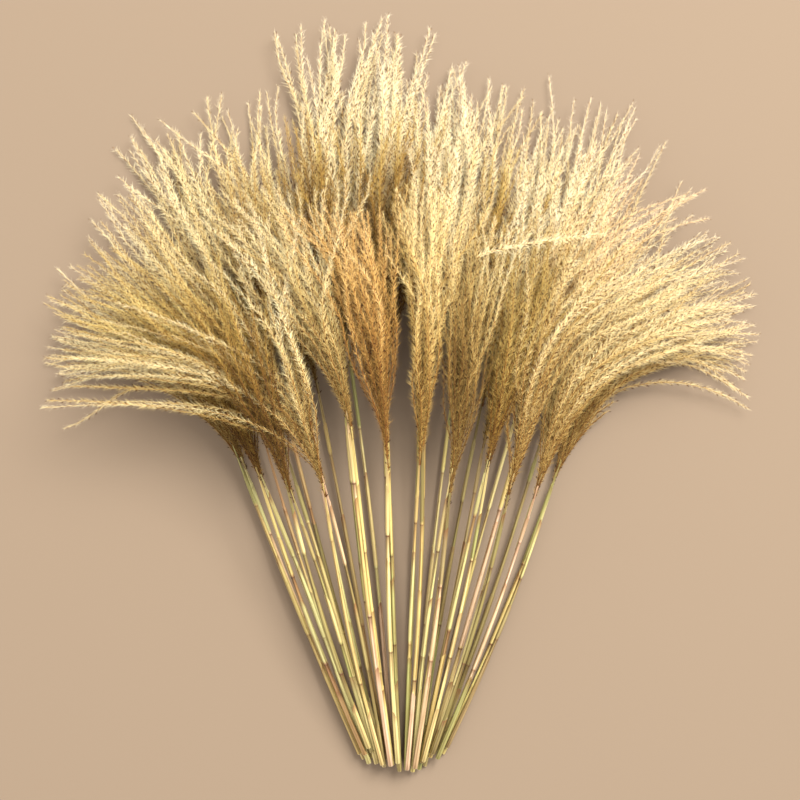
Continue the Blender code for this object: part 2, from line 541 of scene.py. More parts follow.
def stand_up(given, corners, scale, turn, lift):
    """A flat shape with so many corners, stretched, stood on end and lifted off its root."""
    circle = {"Vertices": corners, "Radius": 1.0}
    shape = given.make("GeometryNodeMeshCircle", circle, fill_type="NGON")
    shape = shape.then("Transform", {"Scale": combine(*scale, 1.0)})
    return shape.then("Transform", {"Rotation": turn, "Translation": combine(0.0, 0.0, lift)})


def mark(shape, band, reach, side):
    """How far up its band of the map each corner lies, and how far to the side."""
    return store(store(shape, "band", reach * band[1] + band[0]), "side", side)


def grow_hair(given):
    """A sliver from the origin up. A plain triangle is 1.5 radii long and root 3 radii wide."""
    length, width = given.of("Hair length"), given.of("Hair width")
    scale = (length / 1.5, width / math.sqrt(3.0))
    shape = stand_up(given, 3, scale, (0.0, -QUARTER_TURN, 0.0), length / 3.0)
    parts = place_parts(given)
    return mark(shape, HAIR_BAND, parts.of("Z") / length, parts.of("Y") / width)


def grow_husk(given):
    """A chaff scale: a flat kite on a short stalk, edge on to the thread."""
    length, radius = given.of("Husk length"), given.of("Husk radius")
    lift = length * (0.5 + HUSK_STALK)
    shape = stand_up(given, 4, (radius, length / 2.0), (QUARTER_TURN, 0.0, 0.0), lift)
    parts = place_parts(given)
    return mark(shape, HUSK_BAND, parts.of("Z") / length - HUSK_STALK, parts.of("X") / radius)


# %% A tuft, in several kinds
TUFT_KINDS = 8
HAIR_TILTS = (0.25, 1.0)
HAIR_SIZES = (0.62, 1.1)
KIND_SEEDS = 10


def grow_tuft(given, hair, kind):
    """A few hairs from one root, which lean out at random."""
    roots = given.make("GeometryNodePoints", {"Count": given.of("Hairs")})
    seed = KIND_SEEDS * kind
    tilt = chance(given, *HAIR_TILTS, seed) * given.of("Hair spread")
    spin = chance(given, 0.0, FULL_TURN, seed + 1)
    turn = given.make("FunctionNodeEulerToRotation", {"Euler": combine(tilt, 0.0, spin)})
    size = chance(given, *HAIR_SIZES, seed + 2)
    hairs = roots.then("InstanceOnPoints", {"Instance": hair, "Rotation": turn, "Scale": size})
    return hairs.then("RealizeInstances").then("GeometryToInstance")


# %% Which way the hair faces
HAIR_ROUNDNESS = 0.7


def soften(given, whole):
    """Hair faces up and away from its thread, so that a raceme takes the light as one soft roll."""
    root = named(given, "root", "FLOAT_VECTOR")
    axis = named(given, "axis", "FLOAT_VECTOR")
    away = given.vectors("SUBTRACT", given.make("GeometryNodeInputPosition"), root)
    along = axis.stretch(given.vectors("DOT_PRODUCT", away, axis))
    away = given.vectors("SUBTRACT", away, along)
    soft = away.stretch(HAIR_ROUNDNESS / given.of("Hair length"))
    soft = given.vectors("NORMALIZE", given.vectors("ADD", soft, (0.0, 0.0, 1.0)))
    own = given.make("GeometryNodeInputNormal")
    hairy = given.maths("GREATER_THAN", named(given, "band"), HAIR_BAND[0] - BAND_SLACK)
    wrong = hairy * given.maths("LESS_THAN", given.vectors("DOT_PRODUCT", own, soft), 0.0)
    whole = whole.then("FlipFaces", {"Selection": wrong})
    normal = given.make("ShaderNodeMix", {"Factor": hairy, "A": own, "B": soft}, data_type="VECTOR")
    return whole.then("SetMeshNormal", {"Custom Normal": normal}, mode="FREE", domain="CORNER")


# %% Tufts and husks along the guide lines
SLIP = 0.4
LEAN_PLAY = (0.5, 1.4)
THING_SIZES = (0.8, 1.15)


def space_out(given, lines, pitch, seed):
    """Points along the lines, a little out of step, that remember their root and their thread."""
    points = lines.then("CurveToPoints", {"Length": pitch}, mode="LENGTH")
    slip = points.of("Tangent").stretch(pitch * chance(given, -SLIP, SLIP, seed))
    placed = points.then("SetPosition", {"Offset": slip})
    placed = store(placed, "shade", chance(given, -1.0, 1.0, seed + 1))
    placed = store(placed, "root", given.make("GeometryNodeInputPosition"), kind="FLOAT_VECTOR")
    return points, store(placed, "axis", points.of("Tangent"), kind="FLOAT_VECTOR")


def turn_out(given, points, lean, loose, seed):
    """Each thing looks along the thread and leans to its own side, and the sides take turns."""
    axes = {"Primary Axis": points.of("Tangent"), "Secondary Axis": points.of("Normal")}
    along = given.make("FunctionNodeAxesToRotation", axes, primary_axis="Z", secondary_axis="X")
    side = (given.make("GeometryNodeInputIndex") % 2) * math.pi
    roll = side + chance(given, -loose, loose, seed)
    lean = given.of(lean) * chance(given, *LEAN_PLAY, seed + 1)
    for parts in ((0.0, 0.0, roll), (0.0, lean, 0.0)):
        by = given.make("FunctionNodeEulerToRotation", {"Euler": combine(*parts)})
        values = {"Rotation": along, "Rotate By": by}
        along = given.make("FunctionNodeRotateRotation", values, rotation_space="LOCAL")
    return along


def set_along(given, lines, pitch, things, lean, loose, seed):
    """Things of several kinds, one at each point, as large as the line is full there."""
    points, placed = space_out(given, lines, given.of(pitch), seed)
    kinds = given.make("GeometryNodeJoinGeometry", {"Geometry": things})
    number = chance(given, 0, len(things) - 1, seed + 2)
    size = named(given, "fullness") * chance(given, *THING_SIZES, seed + 3)
    turn = turn_out(given, points, lean, loose, seed + 4)
    one_each = {"Instance": kinds, "Pick Instance": True, "Instance Index": number}
    return placed.then("InstanceOnPoints", {**one_each, "Rotation": turn, "Scale": size})


# %% The threads
THREAD_SIDES = 3


def grow_threads(given, lines):
    """A tube with few sides along each line, as thick as the line says."""
    circle = {"Resolution": THREAD_SIDES, "Radius": 1.0}
    ring = given.make("GeometryNodeCurvePrimitiveCircle", circle)
    turned = given.make("GeometryNodeInputIndex") / (THREAD_SIDES - 1.0)
    ring = store(ring, "band", turned * THREAD_BAND[1] + THREAD_BAND[0])
    tube = {"Profile Curve": ring, "Scale": named(given, "stalk"), "Fill Caps": True}
    return lines.then("CurveToMesh", tube)


# %% The whole tree
HUSK_LOOSE = 0.8
TUFT_SEED = 20
HUSK_SEED = 40
MAP_START = 0.08
MAP_ALONG = 0.82
MAP_SHADE = 0.06
MAP_SIDE = 0.008


def raceme_tree():
    given = new_tree("racemes", TUFT)
    lines = given.of("Geometry").then("MeshToCurve").then("SetCurveNormal", mode="Z_UP")
    hair = grow_hair(given)
    tufts = [grow_tuft(given, hair, kind) for kind in range(TUFT_KINDS)]
    tufts = set_along(given, lines, "Pitch", tufts, "Lean", math.pi, TUFT_SEED)
    husk = grow_husk(given).then("GeometryToInstance")
    husks = set_along(given, lines, "Husk pitch", [husk], "Husk lean", HUSK_LOOSE, HUSK_SEED)

    joined = {"Geometry": [grow_threads(given, lines), tufts, husks]}
    whole = given.make("GeometryNodeJoinGeometry", joined).then("RealizeInstances")
    parts = place_parts(given)
    above = given.maths("MAXIMUM", parts.of("Z"), given.of("Lowest"))
    whole = whole.then("SetPosition", {"Position": combine(parts.of("X"), parts.of("Y"), above)})
    whole = soften(given, whole)
    across = named(given, "along") * MAP_ALONG + named(given, "shade") * MAP_SHADE
    across = across + named(given, "side") * MAP_SIDE + MAP_START
    place = combine(across, named(given, "band"), 0.0)
    whole = store(whole, "OFBake", place, "CORNER", "FLOAT2")
    whole = whole.then("SetMaterial", {"Material": given.of("Material")})
    given.make("NodeGroupOutput", {"Geometry": whole})
    return given.tree


racemes = raceme_tree()
print("nodes in the raceme tree:", len(racemes.nodes))


# %% Guide lines as a mesh, and the tree run on it
LINE_VALUES = ("along", "stalk", "fullness")
WORK_VALUES = ("shade", "root", "axis", "band", "side")


def guide_mesh(name, lines):
    """Each line is a list of (place, along, stalk, fullness)."""
    data = bpy.data.meshes.new(name)
    points = [point for line in lines for point in line]
    edges = []
    first = 0
    for line in lines:
        edges += [(first + index, first + index + 1) for index in range(len(line) - 1)]
        first += len(line)
    data.from_pydata([point[0] for point in points], edges, [])
    for column, value in enumerate(LINE_VALUES, 1):
        layer = data.attributes.new(value, "FLOAT", "POINT")
        layer.data.foreach_set("value", [point[column] for point in points])
    return data


def run_tree(name, data, tree, sizes):
    """The result of the tree as a plain mesh object of this name."""
    thing = put(name, data)
    modifier = thing.modifiers.new(tree.name, "NODES")
    modifier.node_group = tree
    for item in tree.interface.items_tree:
        if item.in_out == "INPUT" and item.name in sizes:
            modifier[item.identifier] = sizes[item.name]
    evaluated = thing.evaluated_get(bpy.context.evaluated_depsgraph_get())
    result = bpy.data.meshes.new_from_object(evaluated)
    thing.modifiers.clear()
    thing.data = result
    bpy.data.meshes.remove(data)
    result.name = name
    for spare in LINE_VALUES + WORK_VALUES:
        if spare in result.attributes:
            result.attributes.remove(result.attributes[spare])
    return thing


# %% [markdown]
# ## The colour of a plume
#
# Close to the cane a plume is brown, because there the husks crowd together and the hair is short,
# and the brown is made deeper there as painted shade, because the foot of a plume lies in the shadow
# of the rest. Towards its tips the silky hair takes over, and the racemes turn to cream. The husks
# are tan with a dark brown point. The material reads all of this from the UV map: two ramps, one
# along the plume and one up the three bands, are multiplied, and a fine noise along the map gives
# every tuft a tone of its own. Eight paints tell fresh plumes from old ones. Most are cream or
# beige, and a few are straw, amber, rosy, olive, bronze or russet. The olive one is partly painted
# shade, for plumes that lie in the hollows of the bunch.

# %% A painter's helpers
def new_material(name):
    """A material, its shader, and the two parts of the place on the map."""
    material = bpy.data.materials.new(name)
    material.use_nodes = True
    place = Wire(material.node_tree).make("ShaderNodeUVMap", uv_map="OFBake")
    parts = place.make("ShaderNodeSeparateXYZ", {"Vector": place})
    return material, material.node_tree.nodes["Principled BSDF"], parts


def ramp(share, stops, depth=1.0):
    """A colour for every share. The depth is a power that deepens all of them."""
    stops = [(at, screen(*(part ** depth for part in colour))) for at, colour in stops]
    return share.make("ShaderNodeValToRGB", {"Fac": share}, stops=stops)


def multiply(colour, tone, share=1.0):
    settings = dict(data_type="RGBA", blend_type="MULTIPLY", clamp_factor=True)
    return colour.make("ShaderNodeMix", {"Factor": share, "A": colour, "B": tone}, **settings)


def wear(colour, parts, stretch, detail, tone, least, strength):
    """A noise stretched over the map, and the colour darkened where the noise is strong."""
    place = combine(parts.of("X") * stretch[0], parts.of("Y") * stretch[1], stretch[2])
    values = {"Vector": place, "Scale": 1.0, "Detail": detail}
    noise = parts.make("ShaderNodeTexNoise", values)
    return noise, multiply(colour, screen(*tone), (noise - least) * strength)


# %% Plume paint
# The dark foot of this ramp is partly the plume's own brown and partly painted shade.
ALONG_STOPS = (
    (0.00, (0.48, 0.385, 0.21)),
    (0.20, (0.70, 0.605, 0.41)),
    (0.42, (0.85, 0.785, 0.62)),
    (0.66, (0.99, 0.975, 0.91)),
    (1.00, (1.00, 1.00, 1.00)),
)
BAND_STOPS = (
    (0.00, (0.60, 0.45, 0.25)),
    (0.31, (0.64, 0.49, 0.28)),
    (0.36, (0.76, 0.60, 0.34)),
    (0.42, (0.58, 0.42, 0.21)),
    (0.47, (0.38, 0.25, 0.12)),
    (0.56, (0.24, 0.15, 0.07)),
    (0.64, (0.31, 0.20, 0.10)),
    (0.68, (0.97, 0.94, 0.81)),
    (0.80, (1.00, 0.98, 0.88)),
    (1.00, (1.00, 1.00, 0.96)),
)
SPECKLE = dict(stretch=(90.0, 3.0, 0.0), detail=2.0, tone=(0.86, 0.76, 0.61), least=0.42, strength=1.6)
PLUME_GLOSS = {"Roughness": 0.7, "Specular IOR Level": 0.25}
PLUME_TONES = {
    "cream": ((1.0, 0.985, 0.965), 0.9),
    "beige": ((1.0, 0.985, 0.94), 1.1),
    "straw": ((1.0, 0.95, 0.83), 0.9),
    # olive: partly the plume's own colour, partly painted shade for plumes in the hollows
    "olive": ((0.91, 0.86, 0.69), 1.3),
    "bronze": ((0.77, 0.69, 0.49), 1.4),
    "rosy": ((1.0, 0.94, 0.89), 0.95),
    "amber": ((0.98, 0.945, 0.875), 1.1),
    "russet": ((1.0, 0.90, 0.76), 0.9),
}


def plume_paint(name, tone, depth):
    """The tone is the whole plume's own, and the depth says how dark its foot is."""
    material, shader, parts = new_material(name)
    mixed = multiply(ramp(parts.of("Y"), BAND_STOPS), ramp(parts.of("X"), ALONG_STOPS, depth))
    mixed = multiply(mixed, screen(*tone))
    wear(mixed, parts, **SPECKLE)[1].into(shader.inputs["Base Color"])
    set_sockets(shader, PLUME_GLOSS)
    return material


PLUME_PAINTS = {name: plume_paint(f"plume_{name}", *tone) for name, tone in PLUME_TONES.items()}
print("plume paints:", sorted(PLUME_PAINTS))

# %% [markdown]
# ## The racemes of one plume
#
# A plume has a short stem of its own, and the racemes leave it one by one on the lower third. Each
# runs out into a lane of its own and then goes along with the rest, with a slight wave, until its
# tip falls a little to one side. The lanes are spaced like the seeds of a sunflower, which fills
# an oval evenly from any number of points.
#
# No two plumes dry alike, so each has a habit: how wide it spreads, how long its racemes are, how
# they fall, droop and lean, how large the hair is and how pale. The dark tones of the deep, hollow
# and shaded habits are painted shade, for plumes that lie in the shadowed hollows of the bunch or
# under others. A few racemes of each plume go their own way, and one has come loose and lies across
# its neighbours. A raceme ends soon after it leaves the solid model's box, after a centimetre at the
# most.

# %% How each plume has dried
HABIT_SIZES = ("spread", "flare", "shortest", "longest", "fall", "droop", "lean", "hair", "tone")
# The low tones of deep, hollow and shaded are painted shade for plumes in the bunch's hollows.
HABIT_ROWS = {
    "open": (1.05, 0.6, 0.78, 1.03, 0.016, 0.0, 0.0, 1.0, 0.04),
    "crest": (0.86, 0.4, 0.70, 1.04, 0.014, 0.0, 0.016, 1.0, 0.12),
    "deep": (0.9, 0.3, 0.76, 0.98, 0.010, 0.0, 0.010, 0.9, -1.00),
    "arched": (1.0, 0.5, 0.76, 1.06, 0.014, 0.125, -0.050, 0.84, 0.04),
    "shoulder": (1.1, 0.5, 0.80, 1.13, 0.014, 0.030, -0.040, 0.86, 0.06),
    "swept": (1.0, 0.7, 0.70, 1.04, 0.022, 0.010, 0.002, 0.90, 0.04),
    "shaded": (1.0, 0.7, 0.66, 0.98, 0.022, 0.010, 0.002, 0.75, -0.56),
    "high": (1.0, 0.6, 0.74, 1.10, 0.018, 0.0, 0.012, 0.95, 0.04),
    "hollow": (1.0, 0.6, 0.74, 1.10, 0.018, 0.0, 0.012, 0.95, -0.34),
    "raised": (1.0, 0.6, 0.72, 1.04, 0.018, 0.060, 0.034, 0.80, -0.08),
    "tossed": (1.0, 0.5, 0.56, 0.88, 0.022, 0.100, -0.095, 0.85, -0.02),
    "closed": (0.70, 0.4, 0.70, 0.96, 0.008, 0.0, 0.0, 0.80, -0.50),
    "short": (0.80, 0.4, 0.66, 0.92, 0.008, 0.0, 0.0, 0.80, 0.22),
    "leaning": (0.75, 0.4, 0.70, 0.96, 0.010, 0.0, -0.042, 0.9, -0.06),
    "packed": (1.3, 0.0, 0.77, 0.84, 0.004, 0.0, -0.026, 0.85, -0.20),
    "slim": (0.6, 0.2, 0.76, 1.0, 0.006, 0.0, 0.0, 0.85, -0.20),
}
IN_FRONT = 0.006
HABITS = {name: dict(zip(HABIT_SIZES, row), front=0.0) for name, row in HABIT_ROWS.items()}
HABITS["packed"]["front"] = IN_FRONT
SINGLE_HABITS = {
    1: "raised", 2: "raised", 3: "high", 5: "crest", 6: "crest", 10: "shoulder", 13: "raised",
    14: "hollow", 15: "deep", 16: "deep", 17: "deep", 19: "deep", 23: "shaded", 24: "tossed",
    25: "leaning", 26: "packed", 27: "slim", 28: "closed", 29: "short",
}
# The olive plumes lie in the bunch's hollows, and their paint is partly painted shade.
SINGLE_PAINTS = {
    12: "amber", 13: "olive", 16: "olive", 17: "olive", 19: "olive", 21: "rosy", 22: "amber", 23: "olive",
    24: "beige", 25: "beige", 26: "russet", 27: "straw", 28: "beige", 29: "bronze", 30: "amber",
}
SWEPT_BEYOND = -0.35
ARCHED_BEYOND = 0.60


def habit_of(reed):
    if reed["number"] in SINGLE_HABITS:
        return SINGLE_HABITS[reed["number"]]
    if reed["outwards"] < SWEPT_BEYOND:
        return "swept"
    return "arched" if reed["outwards"] > ARCHED_BEYOND else "open"


def paint_of(reed):
    """Old plumes are brown, fresh ones cream, and most of the bunch is in between. The olive paint is
    partly a plume's own colour and partly painted shade for plumes in the bunch's hollows.
    """
    usual = "beige" if reed["outwards"] < SWEPT_BEYOND else "cream"
    return PLUME_PAINTS[SINGLE_PAINTS.get(reed["number"], usual)]


# %% Lanes, and how far a raceme may go
GOLDEN_ANGLE = math.pi * (3.0 - math.sqrt(5.0))
LOCK_SOFTENING = 0.5


def lanes(count, start):
    """Places in an oval from -1 to 1, from the middle outwards."""
    for index in range(count):
        away = math.sqrt((index + 0.5) / count)
        turn = start + index * GOLDEN_ANGLE
        yield away, away * math.cos(turn), away * math.sin(turn)


def longest_here(reed, across):
    """How far the solid's locks reach in this lane."""
    at = min(LOCKS - 1, max(0, int((across + 1.0) * 0.5 * LOCKS)))
    return 1.0 - LOCK_SOFTENING * (1.0 - reed["locks"][at])


def in_reach(place, beyond):
    """Whether a place is inside the solid model's box in plan, or only so far beyond it."""
    return all(cad_low[axis] - beyond < place[axis] < cad_high[axis] + beyond for axis in (0, 1))


# %% The hair and the tone at a point of a raceme
FOOT_HAIR = 0.76
FULL_FROM = 0.5
TIP_HAIR = 0.60
FINER_FROM = 0.72
TONE_ALONG = 0.92
TONE_FADES = 0.8
# Painted shade: racemes low in a plume, under the others, are painted darker.
INNER_PAINTED_SHADE = 0.12
INNER_FROM = 0.3


def hair_here(habit, share, grown):
    """Hair grows longer up the plume, and shorter again towards the raceme's own tip."""
    fuller = between(FOOT_HAIR, 1.0, ease(share / FULL_FROM))
    finer = 1.0 - (1.0 - TIP_HAIR) * late(grown, FINER_FROM)
    return habit["hair"] * fuller * finer


def tone_here(habit, share, up, tone):
    """How far along the paint's ramp: brown at the foot, cream at the tips, and darker low in the plume
    as painted shade.
    """
    along = share * TONE_ALONG + tone + habit["tone"] * (1.0 - TONE_FADES * share)
    # Painted shade: the lower a raceme lies in the plume, the darker its tone.
    return clamp(along + INNER_PAINTED_SHADE * (up - INNER_FROM))


# %% One raceme
GUIDE_POINTS = 12
LANE_REACHED = 0.32
WAVE = 0.0040
WAVE_SIZES = (0.4, 1.0)
WAVE_TURNS = (0.6, 1.8)
WAVE_RISE = 0.5
SOME_OR_ALL = (0.2, 1.0)
UPWARD = 0.5
LEAN_POWER = 1.3
TIP_POWER = 3
DROOP_FADES = 1.25
STRAY = 0.60
WILD_SHARE = 0.14
WILD_STRAY = 0.85
WILD_LIFT = 0.006
WILD_BEND = 0.035
BEND_START = 0.5
TONES = 0.20
OVERHANG = 0.010
UNDER_TOP = 0.003
OVER_FLOOR = 0.0022
THREAD_RADIUS = (0.00040, 0.00014)


def raceme_line(reed, root, lane, start, stop, habit, dice):
    """The guide line of one raceme, from its root on the plume's stem to its tip."""
    wave = [dice.uniform(*WAVE_SIZES) * WAVE, dice.uniform(*WAVE_TURNS), dice.uniform(0.0, FULL_TURN)]
    fall = habit["fall"] * (dice.uniform(-1.0, 1.0) - UPWARD * reed["outwards"])
    droop = math.copysign(habit["droop"] * dice.uniform(*SOME_OR_ALL), reed["outwards"])
    droop *= DROOP_FADES - abs(reed["outwards"])
    flare = dice.uniform(0.0, habit["flare"])
    stray = dice.gauss(0.0, STRAY)
    lift, bend = 0.0, 0.0
    if dice.random() < WILD_SHARE:
        stray = dice.choice((-1.0, 1.0)) * WILD_STRAY
        lift = WILD_LIFT
        bend = dice.uniform(-1.0, 1.0) * WILD_BEND
    tone = dice.uniform(-TONES, TONES)
    beyond = dice.uniform(*SOME_OR_ALL) * OVERHANG
    line = []
    for grown in steps(GUIDE_POINTS):
        share = between(start, stop, grown)
        opening = ease((share - start) / LANE_REACHED)
        across, up = (between(near, far, opening) for near, far in zip(root, lane))
        across = across * (1.0 + flare * grown ** 2) + stray * grown ** 2
        place = place_in_plume(reed, share, across, up)
        turned = heading(reed["outwards"], reed["rise"] + share * reed["length"])
        right = Vector((math.cos(turned), -math.sin(turned), 0.0))
        sway = wave[0] * opening * math.sin(wave[1] * FULL_TURN * grown + wave[2])
        leaning = habit["lean"] * grown ** LEAN_POWER + droop * grown ** TIP_POWER
        leaning += bend * late(grown, BEND_START)
        place += right * (sway + fall * grown ** TIP_POWER + leaning + reed["sway"] * share ** 2)
        if not in_reach(place, beyond):
            break
        lifted = place.z + WAVE_RISE * sway + lift * grown + habit["front"]
        place.z = min(max(OVER_FLOOR, lifted), cad_high.z - UNDER_TOP)
        stalk = between(*THREAD_RADIUS, grown)
        line.append((place, tone_here(habit, share, up, tone), stalk, hair_here(habit, share, grown)))
    return line


# %% The stem inside the plume
STEM_IN_PLUME = (0.0011, 0.0003)
STEM_POINTS = 6
STEM_TONE = 0.8
STEM_HAIR = 0.8


def plume_stem(reed, root, start, stop):
    line = []
    for grown in steps(STEM_POINTS):
        share = between(start, stop, grown)
        stalk = between(*STEM_IN_PLUME, grown)
        line.append((place_in_plume(reed, share, *root), share * STEM_TONE, stalk, STEM_HAIR))
    return line


# %% [markdown]
# ## Reeds that lie together
#
# The plain model has thirty reeds, and twelve of them stand for two reeds that lie together. The
# second reed of each pair starts beside the first one's cut end, and its plume opens a little
# lower or higher, inside the first one's solid. The first one's plume leaves it some room.

# %% The first reeds
RACEMES = 30
CANE_BOW = 3.0
PAIRED_LANE = 0.2
PAIRED_SPREAD = 0.8


def side_of(reed):
    return 1.0 if reed["outwards"] > 0.0 else -1.0


def lay_first(reed, paired):
    lane = -PAIRED_LANE * side_of(reed) if paired else 0.0
    return dict(host=reed, order=0, start=reed["start"], end=reed["end"], joints=reed["joints"],
                bow=CANE_BOW * reed["bow"], root=(0.0, 0.0), opens=0.0, lane=lane,
                spread=PAIRED_SPREAD if paired else 1.0, racemes=RACEMES)


# %% The second reeds
TWIN_RACEMES = 20
TWIN_OPENS = ((-0.10, -0.03), (0.02, 0.06))
TWIN_BOW = (0.0015, 0.0045)
TWIN_CUT = (-0.004, 0.010)
TWIN_ROOT = (0.32, -0.1)
TWIN_LANE = 0.3
TWIN_SPREAD = 0.7
PAIRS = (
    (range(23, 31), 0.0033, 0.35),
    ((13, 22), 0.0040, 0.10),
    ((1, 12), 0.0040, 0.40),
)


def lay_second(number, lift, shift, dice):
    """The second reed of a pair lies higher at its cut end, and to one side of the first."""
    host = reeds[number - 1]
    side = side_of(host)
    opens = dice.uniform(*TWIN_OPENS[number % 2])
    root = (side * TWIN_ROOT[0], TWIN_ROOT[1])
    outwards = host["outwards"] + side * shift * host["half_strip"]
    cut = max(host["cut"] + dice.uniform(*TWIN_CUT), -TAIL_LENGTH)
    start = Vector((*on_fan(outwards, cut), host["fan"]["cut_height"] + lift))
    joints = [dice.uniform(*places) for places in JOINT_PLACES]
    return dict(host=host, order=1, start=start, end=place_in_plume(host, opens, *root), joints=joints,
                bow=side * dice.uniform(*TWIN_BOW), root=root, opens=opens, lane=TWIN_LANE * side,
                spread=TWIN_SPREAD, racemes=TWIN_RACEMES)


dice = random.Random(SEED + 1)
twins = [(number, *place) for numbers, *place in PAIRS for number in numbers]
paired = {number for number, *_ in twins}
bunch = [lay_first(reed, reed["number"] in paired) for reed in reeds]
bunch += [lay_second(*twin, dice) for twin in twins]
print("reeds in all:", len(bunch))

# %% All the lines of one plume
PLUME_SWAY = 0.018
SWAY_FADES = 0.7
RAISED_BEYOND = 0.95
RAISED_BY = 0.35
LANES_EVEN = 0.85
LAST_ROOT = 0.30
STEM_BEYOND_ROOTS = 0.1
FIRST_ROOT = 0.005
ROOTS_CROWD = 0.8
ROOT_PLAY = 0.03
LONG_TIPS = 1.7


def plume_lines(one, habit, dice):
    reed, root, start = one["host"], one["root"], one["opens"]
    reed["sway"] = dice.uniform(-1.0, 1.0) * PLUME_SWAY * (1.0 - SWAY_FADES * abs(reed["outwards"]))
    middle_lane = one["lane"]
    if abs(reed["outwards"]) > RAISED_BEYOND:
        middle_lane -= RAISED_BY * side_of(reed)
    lines = [plume_stem(reed, root, start, start + LAST_ROOT + STEM_BEYOND_ROOTS)]
    for away, across, up in lanes(one["racemes"], dice.uniform(0.0, FULL_TURN)):
        width = one["spread"] * habit["spread"]
        across = middle_lane + width * math.copysign(abs(across) ** LANES_EVEN, across)
        born = start - FIRST_ROOT + LAST_ROOT * (1.0 - away) ** ROOTS_CROWD
        born += dice.uniform(0.0, ROOT_PLAY)
        shorter = (habit["longest"] - habit["shortest"]) * dice.random() ** LONG_TIPS
        tip = longest_here(reed, across) * (habit["longest"] - shorter)
        lines.append(raceme_line(reed, root, (across, up), born, tip, habit, dice))
    return lines


# %% The loose raceme
FALLEN = dict(reed=28, place=(0.2, 0.95), start=0.76, stop=0.90)
FALLEN_HABIT = dict(HABITS["open"], lean=0.075, tone=0.3, fall=0.0, flare=0.0, front=IN_FRONT)


def fallen_raceme(reed, dice):
    """One raceme that has come loose near the plume's tip and lies across its neighbours."""
    place = FALLEN["place"]
    return raceme_line(reed, place, place, FALLEN["start"], FALLEN["stop"], FALLEN_HABIT, dice)


# %% Every plume
BESIDE_TOSSED = "swept"
SEEDS_APART = 100
PLUME_SEEDS = 1
TUFT_SEEDS = (50, 25)


def grow_plume(one):
    reed, order = one["host"], one["order"]
    number = reed["number"]
    dice = random.Random(SEED * SEEDS_APART * (PLUME_SEEDS + order) + number)
    habit = habit_of(reed)
    lines = plume_lines(one, HABITS[BESIDE_TOSSED if order and habit == "tossed" else habit], dice)
    if number == FALLEN["reed"] and not order:
        lines.append(fallen_raceme(reed, dice))
    name = f"tassel_{number:02d}" + "b" * order
    seed = number * TUFT_SEEDS[0] + order * TUFT_SEEDS[1]
    sizes = dict(TUFT, Seed=seed, Material=paint_of(reed))
    piece = run_tree(name, guide_mesh(name, lines), racemes, sizes)
    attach(piece, "root")
    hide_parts(f"plume_{number:02d}")
    return len(piece.data.polygons)


print("faces in all plumes:", sum(grow_plume(one) for one in bunch))

# %% [markdown]
# ## The canes
#
# A cane is a thin hollow tube with two joints. From its cut end and from each joint a dry leaf
# sheath wraps it for part of the way up and ends in a torn edge, so the cane looks thicker below
# that edge. Its colour runs on over a joint or a sheath's end, or changes there, from straw yellow
# to green, pink tan or brown. A curve with a bevel would give the tube, but not the torn edge, so
# the cane is a loft: a list of rings, each with its place, its radius, its colour and how
# obliquely it is cut. The edge of an oblique ring is torn.

# %% Colours of a cane
CANE_COLOURS = (
    (0.85, 0.79, 0.50),
    (0.88, 0.83, 0.59),
    (0.84, 0.71, 0.61),
    (0.77, 0.68, 0.42),
    (0.60, 0.61, 0.36),
    (0.79, 0.78, 0.54),
    (0.62, 0.47, 0.31),
    (0.84, 0.77, 0.53),
    (0.50, 0.46, 0.26),
)
COLOUR_STEPS = (0.1, 0.25, 0.9)
JOINT_COLOUR = (0.38, 0.24, 0.13)
TORN_COLOUR = (0.50, 0.32, 0.18)
PITH_COLOUR = (0.93, 0.88, 0.74)
# Painted shade: the dark floor of the shallow bore at a cut end stands for the shadow down the tube.
BORE_SHADE_COLOUR = (0.35, 0.27, 0.18)


def toward(colour, other, share):
    return tuple(between(first, second, share) for first, second in zip(colour, other))


# %% The rings at a cut, at a joint and at a sheath's end
CUT_DEPTH = 0.0015
CUT_WALL = 0.62
HOLLOW_FLOOR = 0.9
JOINT_HALF = 0.0010
JOINT_RINGS = ((-1.0, 1.0, 0.5), (-0.4, 1.16, 0.9), (0.0, 1.2, 1.0), (0.4, 1.2, 0.8), (1.0, 1.05, 0.2))
JOINT_MARK = (0.35, 1.0)
SHEATH_THICKNESS = 0.00030
SHEATH_SLANT = 0.0035
SLANTS = (0.4, 1.0)
FRAYED = (0.1, 0.8)
SHEATH_EDGE = 0.0002


# The bore at the cut end is shallow, and its dark floor is painted shade.
def cut_rings(thickness):
    return [
        (CUT_DEPTH, 0.0, BORE_SHADE_COLOUR, 0.0),
        (CUT_DEPTH, thickness * CUT_WALL * HOLLOW_FLOOR, BORE_SHADE_COLOUR, 0.0),
        (0.0, thickness * CUT_WALL, PITH_COLOUR, 0.0),
        (0.0, thickness, PITH_COLOUR, 0.0),
    ]


def joint_rings(at, thickness, bare, marked):
    return [(at + away * JOINT_HALF, thickness * swell, toward(bare, JOINT_COLOUR, dark * marked), 0.0)
            for away, swell, dark in JOINT_RINGS]


def sheath_end(at, thickness, wrapped, bare, dice):
    """The sheath's edge, and right behind it the cane that comes out."""
    slant = dice.uniform(*SLANTS) * SHEATH_SLANT
    frayed = toward(wrapped, TORN_COLOUR, dice.uniform(*FRAYED))
    return [(at, thickness + SHEATH_THICKNESS, frayed, slant), (at + SHEATH_EDGE, thickness, bare, slant)]


# %% All the rings of one cane
THINNING = 0.030
THIN_TOP = 0.62
SHEATH_SHARE = (0.35, 0.92)
LAST_SHEATH_SHARE = (0.35, 0.8)
OVER_CUT = 0.0004
OVER_JOINT = 0.002
UNDER_JOINT = 0.004
RING_STEP = 0.011
STEP_PLAY = (0.5, 1.0)
EDGE_STEP = 0.0015
TORN = 0.0012
WEATHERED = 0.14
DARK_LENGTH = 0.02
DARK_SHARE = 0.55


